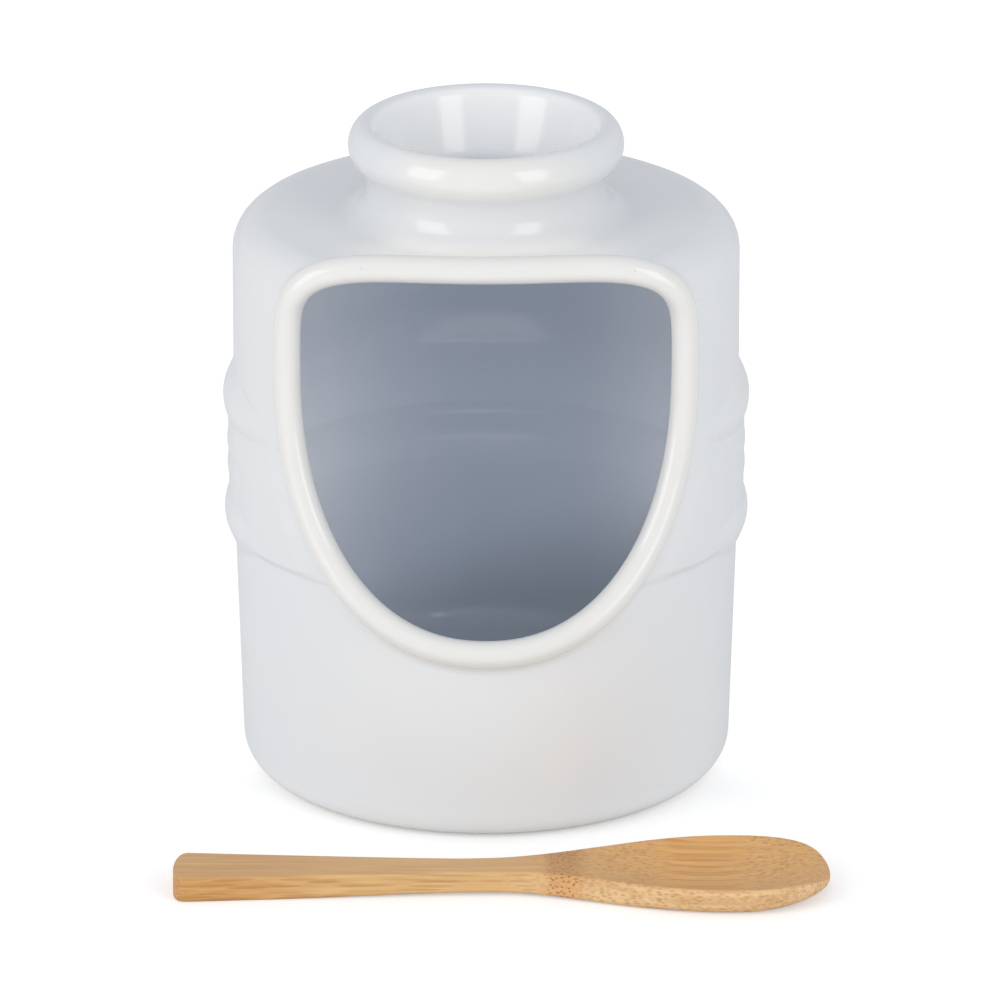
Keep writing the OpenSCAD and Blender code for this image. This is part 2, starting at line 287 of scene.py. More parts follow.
def carry(u, v, inset):
    """Carries a point of the mouth's plane out to the skin, or to the lining with the wall as inset"""
    top, turn = SHOULDER_H - inset, SHOULDER_ROUND - inset
    lo, hi = np.zeros_like(u), np.full_like(u, RAY_LENGTH)
    for _ in range(HALVINGS):
        w = (lo + hi) / 2
        y, z = from_mouth(v, w)
        arch = np.sqrt(np.maximum(0, turn ** 2 - (z - top + turn) ** 2))
        limit = np.where(z <= top - turn, wall_r(z) - inset, UP_R - inset - turn + arch)
        ok = (z < top) & (np.hypot(u, y) < limit)
        lo, hi = np.where(ok, w, lo), np.where(ok, hi, w)
    return np.stack([u, *from_mouth(v, (lo + hi) / 2)], 1)


def smooth_loop(p, width, passes=2):
    reach = 3 * width
    k = np.exp(-0.5 * (np.arange(-reach, reach + 1) / width) ** 2)
    k /= k.sum()
    for _ in range(passes):
        ends = np.vstack([p[-reach:], p, p[:reach]])
        p = np.stack([np.convolve(column, k, "valid") for column in ends.T], 1)
    return p


# Evenly spaced middle line of the rolled rim
angles = np.linspace(0, 2 * np.pi, RAW_STEPS, endpoint=False)
raw = carry(*mouth_outline(angles, RIM_R), 0.0)
raw_cut = carry(*mouth_outline(angles, RIM_OVERHANG), WALL)
along = np.r_[0, np.cumsum(np.linalg.norm(np.diff(np.vstack([raw, raw[:1]]), axis=0), axis=1))]
even = np.linspace(0, along[-1], RIM_STEPS, endpoint=False)


def even_loop(p):
    closed = np.vstack([p, p[:1]])
    return smooth_loop(np.stack([np.interp(even, along, closed[:, i]) for i in range(3)], 1), 10)


rim, cut = even_loop(raw), even_loop(raw_cut)
way = unit(np.roll(rim, -3, 0) - np.roll(rim, 3, 0))
rim_theta = np.arctan2(rim[:, 0], -rim[:, 1])
rim_s = skin.nearest(np.stack([np.hypot(rim[:, 0], rim[:, 1]), rim[:, 2]], 1))
nrz = smooth_loop(skin.normal(rim_s), 12)
out = np.stack([nrz[:, 0] * np.sin(rim_theta), -nrz[:, 0] * np.cos(rim_theta), nrz[:, 1]], 1)
side = unit(np.cross(way, out))
out = np.cross(side, way)
if ((rim - rim.mean(0)) * side).sum() < 0:
    side = -side


def unroll(p, line_of):
    return np.arctan2(p[:, 0], -p[:, 1]), line_of.nearest(np.stack([np.hypot(p[:, 0], p[:, 1]), p[:, 2]], 1))


foot_b = math.sqrt((RIM_R + RIM_FILLET) ** 2 - RIM_FILLET ** 2)
foot_a = math.asin(RIM_FILLET / (RIM_R + RIM_FILLET))
out_theta, out_s = unroll(rim + side * foot_b, skin)
in_theta, in_s = unroll(cut, lining)
out_uv = smooth_loop(np.stack([out_theta, out_s], 1), 8)
in_uv = smooth_loop(np.stack([in_theta, in_s], 1), 8)

# Front patch of the outside and of the lining, in columns of angle and rows of length
COLS, BACK, WEB = 132, 78, 44
EDGE = math.radians(84.0)
col_front = np.linspace(-EDGE, EDGE, COLS + 1)
col_back = np.linspace(EDGE, 2 * np.pi - EDGE, BACK + 1)
theta_all = np.r_[col_front[:-1], col_back[:-1]]
RING_N = len(theta_all)
# Rows by height: below the band, across it, and on to the shoulder
z_row = np.r_[np.linspace(23, 49, 45)[:-1], np.linspace(49, 96, 73)[:-1], np.linspace(96, 119, 9)]
skin_row = skin.nearest(np.stack([wall_r(z_row), z_row], 1))
skin_row = np.r_[skin_row, np.linspace(skin_row[-1], skin.s[-1] - 1.2, 17)[1:]]
ROWS = len(skin_row) - 1
# The lining's rows start above the floor and lie closer at the finger mark
low_in, mark_0, mark_1 = [float(lining.nearest([[float(wall_r(z)) - WALL, z]])[0]) for z in (25.0, 55.0, 66.0)]
lining_row = np.r_[np.linspace(low_in, mark_0, 41)[:-1], np.linspace(mark_0, mark_1, 41)[:-1],
                   np.linspace(mark_1, 4.0, ROWS - 79)]

verts, faces, inside, rimmed, known = [], [], [], [], []


def add(points, within=0.0, on_rim=0.0):
    """Adds points, with how far they lie within the chamber and on the rolled rim"""
    start = len(verts)
    verts.extend(np.asarray(points, float).reshape(-1, 3))
    inside.extend([within] * (len(verts) - start))
    rimmed.extend([on_rim] * (len(verts) - start))
    return np.arange(start, len(verts))


def skirt(a, b, closed):
    n = len(a)
    for i in range(n if closed else n - 1):
        j = (i + 1) % n
        faces.append((int(a[i]), int(a[j]), int(b[j]), int(b[i])))


def fan(ring, centre):
    for i, v in enumerate(ring):
        faces.append((int(v), int(ring[(i + 1) % len(ring)]), int(centre)))


def spread(total, size):
    return np.linspace(0, 1, max(2, int(round(total / size))) + 1)


# Rows below the front patch, from the middle of the sole
sole_end = sole.s[-1]
sole_s = np.r_[np.linspace(sole_end * 0.02, sole_end - 25.0, 10)[:-1], np.linspace(sole_end - 25.0, sole_end, 32)]
stack = [add(spin(sole.at(np.full(RING_N, s)), theta_all)) for s in sole_s]
low_s = skin_row[0] * spread(skin_row[0], 1.3)[1:]
stack += [add(outer(theta_all, np.full(RING_N, s))) for s in low_s]
for a, b in zip(stack, stack[1:]):
    skirt(a, b, True)
fan(stack[0][::-1], add([[0.0, 0.0, FOOT_RECESS]])[0])
skin_low = stack[-1]

# Rows above the front patch: shoulder, neck, lip, funnel, underside of the shoulder
top_s = skin_row[-1] + (skin.s[-1] - skin_row[-1]) * spread(1.2, 0.6)
stack = [add(outer(theta_all, np.full(RING_N, s))) for s in top_s]
neck_s = neck.s[-1] * spread(neck.s[-1], 1.0)[1:]
# The lower part of the funnel is counted as inside, so it takes the chamber's painted shade, more with depth
deep = [float(ease((WAIST_Z + 3 - neck.at(s)[1]) / 10)) * (s > neck.s[-1] / 2) for s in neck_s]
stack += [add(spin(neck.at(np.full(RING_N, s)), theta_all), d) for s, d in zip(neck_s, deep)]
under_s = lining_row[-1] * spread(lining_row[-1], 1.2)[1:]
stack += [add(inner(theta_all, np.full(RING_N, s)), 1.0) for s in under_s]
for a, b in zip(stack, stack[1:]):
    skirt(a, b, True)
skin_high, lining_high = stack[0], stack[-1]

# Rows below the front patch of the lining, down to the middle of the floor
floor_len = lining.s[-1] - lining_row[0]
floor_s = lining_row[0] + floor_len * np.r_[np.linspace(0, 0.62, 20), np.linspace(0.62, 0.985, 9)[1:]]
stack = [add(inner(theta_all, np.full(RING_N, s)), 1.0) for s in floor_s]
for a, b in zip(stack, stack[1:]):
    skirt(b, a, True)
fan(stack[-1], add([[0.0, 0.0, FLOOR_H]], 1.0)[0])
lining_low = stack[0]


def patch(low_ring, high_ring, rows, place, flip):
    """Back and sides as a plain grid; returns the front patch's edge, from which the web of rings runs in to the
    mouth
    """
    back_low, back_high = np.r_[low_ring[COLS:], low_ring[:1]], np.r_[high_ring[COLS:], high_ring[:1]]
    grid = [back_low] + [add(place(col_back, np.full(BACK + 1, s)), float(flip)) for s in rows[1:-1]] + [back_high]
    known.extend((row, place, col_back, np.full(BACK + 1, s)) for row, s in zip(grid, rows))
    for a, b in zip(grid, grid[1:]):
        skirt(*((a, b) if not flip else (b, a)), False)
    right = [g[0] for g in grid]
    left = [g[-1] for g in grid]
    edge = list(low_ring[:COLS]) + right[:-1] + list(high_ring[1:COLS + 1][::-1]) + left[::-1][:-1]
    edge_uv = ([(t, rows[0]) for t in col_front[:-1]] + [(EDGE, s) for s in rows[:-1]]
               + [(t, rows[-1]) for t in col_front[1:][::-1]] + [(-EDGE, s) for s in rows[::-1][:-1]])
    return np.array(edge), np.array(edge_uv)


skin_edge, skin_edge_uv = patch(skin_low, skin_high, skin_row, outer, False)
lining_edge, lining_edge_uv = patch(lining_low, lining_high, lining_row, inner, True)

# Each edge point of the front patch is tied to the rim point at the same bearing
hub = np.array([0.0, out_uv[:, 1].mean()])
scale = np.array([UP_R, 1.0])
d_edge = (skin_edge_uv - hub) * scale
d_loop = (out_uv - hub) * scale
bear_edge = np.unwrap(np.arctan2(d_edge[:, 1], d_edge[:, 0]))
bear_loop = np.unwrap(np.arctan2(d_loop[:, 1], d_loop[:, 0]))
count = np.arange(RIM_STEPS)
order = count[::-1] if bear_loop[-1] < bear_loop[0] else count
loop = np.unwrap(bear_loop[order])
loop = loop + 2 * np.pi * np.round((bear_edge[0] - loop[0]) / (2 * np.pi))
three_b = np.r_[loop - 2 * np.pi, loop, loop + 2 * np.pi]
three_i = np.r_[count - RIM_STEPS, count, count + RIM_STEPS].astype(float)
pos = np.interp(bear_edge, three_b, three_i)
pos = smooth_loop(np.stack([np.cos(2 * np.pi * pos / RIM_STEPS), np.sin(2 * np.pi * pos / RIM_STEPS)], 1), 3)
pos = np.unwrap(np.arctan2(pos[:, 1], pos[:, 0])) / (2 * np.pi) * RIM_STEPS


def pick(a):
    b = a[order]
    i = np.floor(pos).astype(int)
    f = (pos - i)[:, None]
    return b[i % RIM_STEPS] * (1 - f) + b[(i + 1) % RIM_STEPS] * f


rim_k, side_k, out_k = pick(rim), unit(pick(side)), unit(pick(out))
out_uv_k, in_uv_k = pick(out_uv), pick(in_uv)
rim_uv_k = pick(np.stack([rim_theta, rim_s], 1))


def web(edge, edge_uv, loop_uv, place, flip, count):
    """Rings from the patch's edge to the rim; the band's relief fades out against the rim"""
    last = edge
    rim_pts = place(loop_uv[:, 0], loop_uv[:, 1], 0.0)
    for j in range(1, count + 1):
        t = 1 - (1 - j / count) ** 1.15
        uv = edge_uv * (1 - t) + loop_uv * t
        plain = place(uv[:, 0], uv[:, 1], 0.0)
        fade = ease(np.linalg.norm(plain - rim_pts, axis=1) / RELIEF_FADE) if j < count else np.zeros(len(edge))
        ring = add(place(uv[:, 0], uv[:, 1], fade), float(flip))
        clear = fade == 1.0
        known.append((ring[clear], place, uv[clear, 0], uv[clear, 1]))
        skirt(*((last, ring) if not flip else (ring, last)), True)
        last = ring
    return last


# The lining's web stops a little short of the cut edge, which is rounded
hub_in = np.array([0.0, in_uv_k[:, 1].mean()])
near_uv_k = in_uv_k + CUT_ROUND * unit((in_uv_k - hub_in) * scale) / scale
skin_loop = web(skin_edge, skin_edge_uv, out_uv_k, outer, False, WEB)
lining_loop = web(lining_edge, lining_edge_uv, near_uv_k, inner, True, 12)

# Rolled rim: fillet, round bead, then straight along the cut and round its edge to the lining
corner = inner(in_uv_k[:, 0], in_uv_k[:, 1], 0.0)
rel = corner - rim_k
end_b, end_n = (rel * side_k).sum(1), (rel * out_k).sum(1)
reach = np.hypot(end_b, end_n)
turn = np.degrees(np.arctan2(end_n, end_b) - np.arccos(RIM_R / reach)) % 360
last = skin_loop


def rim_ring(points, within=0.0, on_rim=1.0):
    global last
    row = add(points, within, on_rim)
    skirt(last, row, True)
    last = row


fillet_0 = outer(out_uv_k[:, 0], out_uv_k[:, 1], 0.0)
fillet_1 = rim_k + RIM_R * (side_k * math.cos(foot_a) + out_k * math.sin(foot_a))
nudge = out_uv_k + 0.1 * (rim_uv_k - out_uv_k)
toward = unit(outer(nudge[:, 0], nudge[:, 1], 0.0) - fillet_0)
pull = FILLET_PULL * np.linalg.norm(fillet_1 - fillet_0, axis=1)[:, None]
bend_0 = fillet_0 + pull * toward
bend_1 = fillet_1 + pull * (side_k * math.sin(foot_a) - out_k * math.cos(foot_a))
for t in np.linspace(0, 1, 6)[1:]:
    u = 1 - t
    rim_ring(u ** 3 * fillet_0 + 3 * u * u * t * bend_0 + 3 * u * t * t * bend_1 + t ** 3 * fillet_1, 0.0, t)
for t in np.linspace(0, 1, 17)[1:]:
    a = np.radians(math.degrees(foot_a) * (1 - t) + turn * t)[:, None]
    bead = rim_k + RIM_R * (side_k * np.cos(a) + out_k * np.sin(a))
    rim_ring(bead)
stop = corner + CUT_ROUND * (bead - corner) / np.linalg.norm(bead - corner, axis=1)[:, None]
for t in (0.5, 1.0):
    rim_ring(bead * (1 - t) + stop * t, t, 1 - t)
end = np.array([verts[i] for i in lining_loop])
for t in np.linspace(0, 1, 6)[1:-1]:
    rim_ring(stop * (1 - t) ** 2 + corner * 2 * t * (1 - t) + end * t ** 2, 1.0, 0.0)
skirt(last, lining_loop, True)


def make(name, points, polys):
    me = bpy.data.meshes.new(name)
    me.from_pydata([tuple(float(c) * MM for c in p) for p in points], [], polys)
    me.validate()
    bm = bmesh.new()
    bm.from_mesh(me)
    bmesh.ops.recalc_face_normals(bm, faces=bm.faces)
    bm.to_mesh(me)
    bm.free()
    me.polygons.foreach_set("use_smooth", [True] * len(me.polygons))
    ob = bpy.data.objects.new(name, me)
    bpy.context.scene.collection.objects.link(ob)
    return ob


jar = make("jar", verts, faces)

# True normals where the surface is known, so that the web's seams don't show
normals = np.empty(3 * len(verts), np.float32)
jar.data.vertex_normals.foreach_get("vector", normals)
normals = normals.reshape(-1, 3)
for rows, place, theta, s in known:
    if len(rows):
        across = place(theta + NUDGE_THETA, s) - place(theta - NUDGE_THETA, s)
        n = unit(np.cross(across, place(theta, s + NUDGE_S) - place(theta, s - NUDGE_S)))
        normals[rows] = n * np.sign((n * normals[rows]).sum(1))[:, None]
jar.data.normals_split_custom_set_from_vertices(normals)
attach(jar, "vessel")
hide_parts("vessel")

# Layers that the glaze reads: it pools in the hollows of the relief, away from the rim, and the grey there is partly
# painted shade in the creases
POOL_REACH, POOL_FULL, WALL_SLACK = 0.9, 0.6, 1.5
at = np.array(verts)
bearing, height, radius = np.arctan2(at[:, 0], -at[:, 1]), at[:, 2], np.hypot(at[:, 0], at[:, 1])
not_rim, not_inside = 1 - np.array(rimmed), 1 - np.array(inside)
beside = relief(bearing, height + POOL_REACH) + relief(bearing, height - POOL_REACH)
hollow = beside - 2 * relief(bearing, height)
pool_and_crease_shade = ease(hollow / POOL_FULL) * (radius > wall_r(height) - WALL_SLACK) * not_rim * not_inside
# Painted light: lighter on the funnel inside the neck and on the front of the shoulder, and warm on the rolled rim
# and the front of the lip
funnel_painted_light_part = ease((NECK_R - 0.4 - radius) / 1.4) * ease((height - SHOULDER_H) / 6) * not_inside
ahead = ease((-at[:, 1] - 16) / 12) * ease((38 - np.abs(at[:, 0])) / 20) * not_rim * not_inside
front_painted_light_part = ahead * ease((height - 125.5) / 1.2) * ease((SHOULDER_H + 3 - height) / 3)
warm_painted_light = np.maximum(rimmed, ahead * ease((height - 137) / 4) * (1 - funnel_painted_light_part))
layers = {"inside": inside, "rimmed": warm_painted_light, "pool_and_crease_shade": pool_and_crease_shade, "funnel": funnel_painted_light_part, "front": front_painted_light_part}
for name, values in layers.items():
    layer = jar.data.attributes.new(name, "FLOAT", "POINT")
    layer.data.foreach_set("value", np.asarray(values, np.float32))

# Bamboo spoon
SPOON_L, SPOON_T, HANDLE_W, HANDLE_WAIST = 141.5, 5.9, 16.0, 8.8
BOWL_W, BOWL_DEPTH, HANDLE_LIFT, SPOON_OUT, SPOON_LEFT = 32.96, 3.6, 1.0, 78.6, 67.6
BOWL_MID, WAIST_AT, END_LEN = 0.856 * SPOON_L, 0.44 * SPOON_L, 3.4
HOLLOW_MID, HOLLOW_HALF = 0.815 * SPOON_L, 0.185 * SPOON_L
TAPER_POWER, END_POWER, NOSE_POWER = 1.25, 2.4, 2.3
SWELL_FROM, SWELL_SHORT = 6, 8
ARCH_SHARE, ARCH_MID, ARCH_HALF, NOSE_LIFT = 0.75, 0.46 * SPOON_L, 0.33 * SPOON_L, 0.46 * SPOON_T
HANDLE_DROP, DROP_OVER, NOSE_ROUND, NOSE_ROUND_POWER = 0.3, 30, 2.6, 9
HANDLE_NEAR, NEAR_OVER, BEND_AT = 0.7, 35, 90
END_SKEW, SKEW_LEN = 1.2, 11
EDGE_ROUND, EDGE_SHARE, BILGE, BILGE_SHARE = 0.7, 0.3, 0.9, 0.7
BOAT_FROM, BOAT_OVER, BOAT_W, BOAT_H = 0.58, 0.22, 0.16, 1.9
TOP_N, SPOON_ROWS = 25, 191


def nose(x):
    return min(1.0, max(0.0, (x - BOWL_MID) / (SPOON_L - BOWL_MID)))


def spoon_half(x):
    taper = max(0.0, 1 - x / WAIST_AT) ** TAPER_POWER
    handle = HANDLE_WAIST / 2 + (HANDLE_W - HANDLE_WAIST) / 2 * taper
    end = max(0.08, (1 - max(0.0, 1 - x / END_LEN) ** END_POWER) ** (1 / END_POWER))
    swell = float(ease((x - WAIST_AT - SWELL_FROM) / (BOWL_MID - WAIST_AT - SWELL_SHORT)))
    if x < BOWL_MID:
        return handle * end + (BOWL_W - HANDLE_WAIST) / 2 * swell
    return BOWL_W / 2 * max(0.03, (1 - nose(x) ** NOSE_POWER) ** (1 / NOSE_POWER))


def spoon_under(x):
    return ARCH_SHARE * HANDLE_LIFT * float(bump(x - ARCH_MID, ARCH_HALF)) + NOSE_LIFT * nose(x) ** 2


def spoon_top(x):
    """The handle lies a little lower than the bowl's edge, and the nose is rounded over"""
    return SPOON_T - HANDLE_DROP * float(ease((BEND_AT - x) / DROP_OVER)) - NOSE_ROUND * nose(x) ** NOSE_ROUND_POWER


def spoon_hollow(x):
    return BOWL_DEPTH * max(0.0, 1 - ((x - HOLLOW_MID) / HOLLOW_HALF) ** 2)


def spoon_section(x):
    half, low, high = spoon_half(x), spoon_under(x), spoon_top(x)
    boat = float(ease((x / SPOON_L - BOAT_FROM) / BOAT_OVER))
    edge = min(EDGE_ROUND, half * EDGE_SHARE, EDGE_SHARE * (high - low))
    bilge_w = min(half * BILGE_SHARE, BILGE + boat * BOAT_W * half)
    bilge_h = min(BILGE + boat * BOAT_H, BILGE_SHARE * (high - edge - low))
    top = half - edge
    pts = []
    for i in range(TOP_N):
        y = top * (1 - i / (TOP_N // 2))
        pts.append((y, high - spoon_hollow(x) * (1 - (y / max(top, 1e-6)) ** 2), 0.0))
    # One side, from the top edge down round the bilge
    for a in np.linspace(0, 90, 6)[1:]:
        c, d = polar(a)
        pts.append((-top - edge * d, high - edge + edge * c, a / 90))
    hi, lo = high - edge, low + bilge_h
    for t in (0.33, 0.67):
        pts.append((-half, hi + (lo - hi) * t, 1.0))
    for a in np.linspace(0, 90, 9):
        c, d = polar(a)
        pts.append((-half + bilge_w * (1 - c), low + bilge_h * (1 - d), 1.0))
    other_side = [(-y, z, f) for y, z, f in pts[TOP_N:]][::-1]
    flat = half - bilge_w
    for t in np.linspace(-1, 1, 10)[1:-1]:
        pts.append((flat * t, low, 1.0))
    pts += other_side
    # The end of the handle is cut a little aslant, and the handle lies a little nearer than the bowl's middle
    skew = END_SKEW * max(0.0, 1 - x / SKEW_LEN) ** 2
    near = HANDLE_NEAR * float(ease((BEND_AT - x) / NEAR_OVER))
    return [(x + skew * (2 * y / HANDLE_W + 1) / 2 - SPOON_LEFT, y - near - SPOON_OUT, z, f) for y, z, f in pts]


xs = SPOON_L * (0.5 - 0.5 * np.cos(np.pi * np.linspace(0, 1, SPOON_ROWS)))
sv, sf = [], []
for x in xs:
    sv += spoon_section(float(x))
m = len(sv) // len(xs)
for i in range(len(xs) - 1):
    for j in range(m):
        k = (j + 1) % m
        sf.append((i * m + j, (i + 1) * m + j, (i + 1) * m + k, i * m + k))
sf.append(tuple(range(m)))
sf.append(tuple(range((len(xs) - 1) * m, len(xs) * m)))
flank = np.array([q[3] for q in sv], np.float32)
spoon = make("spoon_bamboo", [q[:3] for q in sv], sf)
spoon.data.attributes.new("flank", "FLOAT", "POINT").data.foreach_set("value", flank)
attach(spoon, "spoon")
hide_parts("spoon")


# Materials
def nodes_of(name):
    m = bpy.data.materials.new(name)
    m.use_nodes = True
    t = m.node_tree
    return m, t, t.nodes["Principled BSDF"]


class Graph:
    """Short ways to add and join shader nodes"""

    def __init__(self, tree):
        self.tree = tree

    def feed(self, n, links):
        for socket, value in links:
            if isinstance(value, bpy.types.NodeSocket):
                self.tree.links.new(value, n.inputs[socket])
            else:
                n.inputs[socket].default_value = value

    def node(self, kind, links=(), **values):
        n = self.tree.nodes.new(kind)
        for k, v in values.items():
            setattr(n, k, v)
        self.feed(n, links)
        return n

    def math(self, op, a, b=0.0, c=0.0):
        return self.node("ShaderNodeMath", [(0, a), (1, b), (2, c)], operation=op).outputs[0]

    def ramp(self, value, low, high, out_low=0.0, out_high=1.0):
        links = [(0, value), (1, low), (2, high), (3, out_low), (4, out_high)]
        return self.node("ShaderNodeMapRange", links, interpolation_type="SMOOTHSTEP").outputs[0]

    def blend(self, fac, a, b, mode="MIX"):
        n = self.node("ShaderNodeMix", data_type="RGBA", blend_type=mode)
        self.feed(n, [(0, fac), (6, a), (7, b)])
        return n.outputs[2]

    def place(self, x=1.0, y=1.0, z=1.0):
        where = self.node("ShaderNodeTexCoord").outputs["Object"]
        return self.node("ShaderNodeMapping", [(0, where), (3, (x, y, z))]).outputs[0]

    def noise(self, vector, scale, detail=2.0, rough=0.5):
        links = [("Vector", vector), ("Scale", scale), ("Detail", detail), ("Roughness", rough)]
        return self.node("ShaderNodeTexNoise", links).outputs[0]

    def attribute(self, name):
        return self.node("ShaderNodeAttribute", attribute_name=name).outputs["Fac"]


COOL_WHITE, WHITE, RIM_PAINTED_WARM_LIGHT = (0.738, 0.752, 0.770, 1), (0.755, 0.760, 0.765, 1), (0.768, 0.760, 0.740, 1)
FUNNEL_PAINTED_LIGHT, FRONT_PAINTED_LIGHT, FOOT_PAINTED_LIGHT = (0.88, 0.885, 0.885, 1), (0.91, 0.90, 0.872, 1), (0.84, 0.845, 0.845, 1)
CHAMBER_PAINTED_SHADE_MID, CHAMBER_PAINTED_LIGHT_SIDE, CHAMBER_PAINTED_SHADE_LOW = (0.79, 0.845, 0.935, 1), (0.92, 0.945, 0.99, 1), (0.55, 0.595, 0.655, 1)
CHAMBER_PAINTED_SHADE_TOP, POOL_GREY_AND_CREASE_SHADE = (0.82, 0.83, 0.85, 1), (0.60, 0.63, 0.66, 1)
SPECK_BROWN, BARE_CLAY = (0.42, 0.36, 0.30, 1), (0.70, 0.66, 0.60, 1)
CLAY_TOP, CLAY_FULL = 0.0009, 0.0004


def glaze():
    m, t, b = nodes_of("white_glaze")
    g = Graph(t)
    where = g.place()
    across, _, height = g.node("ShaderNodeSeparateXYZ", [(0, where)]).outputs
    within, rolled, pool_shade, funnel_painted_light, front = [g.attribute(n) for n in ("inside", "rimmed", "pool_and_crease_shade", "funnel", "front")]
    # White glaze with painted warm light on the rolled rim and the front of the lip, painted light on the funnel and
    # the front of the shoulder, painted bluish shade inside the chamber, and a grey where it pools that is partly
    # painted crease shade
    cloud = g.noise(where, 28.0, 3.0)
    colour = g.blend(g.ramp(cloud, 0.3, 0.7), COOL_WHITE, WHITE)
    # Painted warm light on the rolled rim and the front of the lip
    colour = g.blend(rolled, colour, RIM_PAINTED_WARM_LIGHT)
    # Painted light on the funnel inside the neck
    colour = g.blend(funnel_painted_light, colour, FUNNEL_PAINTED_LIGHT)
    # Painted light on the front of the shoulder, before the neck
    colour = g.blend(front, colour, FRONT_PAINTED_LIGHT)
    side = g.math("ABSOLUTE", across)
    # Inside the chamber the colour is painted shade: lighter on the sides where the lamps reach, darker towards the
    # top, towards the bottom and to the right
    chamber = g.blend(g.ramp(side, 0.018, 0.046), CHAMBER_PAINTED_SHADE_MID, CHAMBER_PAINTED_LIGHT_SIDE)
    shaded = g.blend(1.0, chamber, CHAMBER_PAINTED_SHADE_TOP, "MULTIPLY")
    chamber = g.blend(g.ramp(height, 0.060, 0.088), chamber, shaded)
    low = g.math("MULTIPLY_ADD", across, -0.35, height)
    chamber = g.blend(g.ramp(low, 0.040, 0.012), chamber, CHAMBER_PAINTED_SHADE_LOW)
    colour = g.blend(within, colour, chamber)
    # Grey where the glaze pools in the relief's hollows, partly painted shade in the creases
    colour = g.blend(g.math("MULTIPLY", pool_shade, 0.4), colour, POOL_GREY_AND_CREASE_SHADE)
    # Pin specks in the glaze
    moved = g.node("ShaderNodeMapping", [(0, where), (1, (-0.0320, -0.0010, 0.0013))]).outputs[0]
    cells = g.node("ShaderNodeTexVoronoi", [("Vector", moved), ("Scale", 120.0)])
    odd = g.node("ShaderNodeSeparateColor", [(0, cells.outputs["Color"])]).outputs[0]
    speck = g.math("MULTIPLY", g.ramp(cells.outputs["Distance"], 0.045, 0.02), g.math("GREATER_THAN", odd, 0.94))
    colour = g.blend(g.math("MULTIPLY", speck, 0.22), colour, SPECK_BROWN)
    # Painted light on the rounding of the foot, which lightens it towards the floor
    colour = g.blend(g.ramp(height, 0.0085, 0.002), colour, FOOT_PAINTED_LIGHT)
    # Bare clay on the ring that the jar stands on
    colour = g.blend(g.ramp(height, CLAY_TOP, CLAY_FULL), colour, BARE_CLAY)
    t.links.new(colour, b.inputs["Base Color"])
    # Satin on the outer wall, glossier on the rim, the neck and inside, dull on the bare clay
    glossy = g.math("MAXIMUM", g.math("MAXIMUM", within, rolled), g.ramp(height, 0.112, 0.124))
    dull = g.ramp(height, CLAY_TOP, CLAY_FULL, 0.34, 0.8)
    t.links.new(g.math("MULTIPLY_ADD", glossy, -0.2, dull), b.inputs["Roughness"])
    wave = g.math("ADD", g.noise(where, 55.0, 1.5), g.math("MULTIPLY", g.noise(where, 420.0, 1.0), 0.12))
    dent = g.node("ShaderNodeBump", [("Strength", 0.08), ("Distance", 0.0007), ("Height", wave)])
    t.links.new(dent.outputs[0], b.inputs["Normal"])
    return m


END_TAN, HANDLE_TAN, BOWL_TAN = (0.617, 0.354, 0.148, 1), (0.67, 0.402, 0.18, 1), (0.69, 0.383, 0.142, 1)
NOSE_TAN, HOLLOW_TAN = (0.682, 0.372, 0.131, 1), (0.73, 0.382, 0.125, 1)
END_SIDE, HANDLE_SIDE, BOWL_SIDE = (0.58, 0.29, 0.085, 1), (0.70, 0.432, 0.182, 1), (0.80, 0.535, 0.28, 1)
STREAK, PALE_FIBRE = (0.54, 0.27, 0.085, 1), (0.86, 0.58, 0.29, 1)
BUNDLE, PORE = (0.40, 0.185, 0.05, 1), (0.42, 0.20, 0.06, 1)
JOINT_TOP, JOINT_SIDE, FRECKLE = (0.46, 0.21, 0.06, 1), (0.66, 0.32, 0.10, 1), (0.27, 0.09, 0.03, 1)


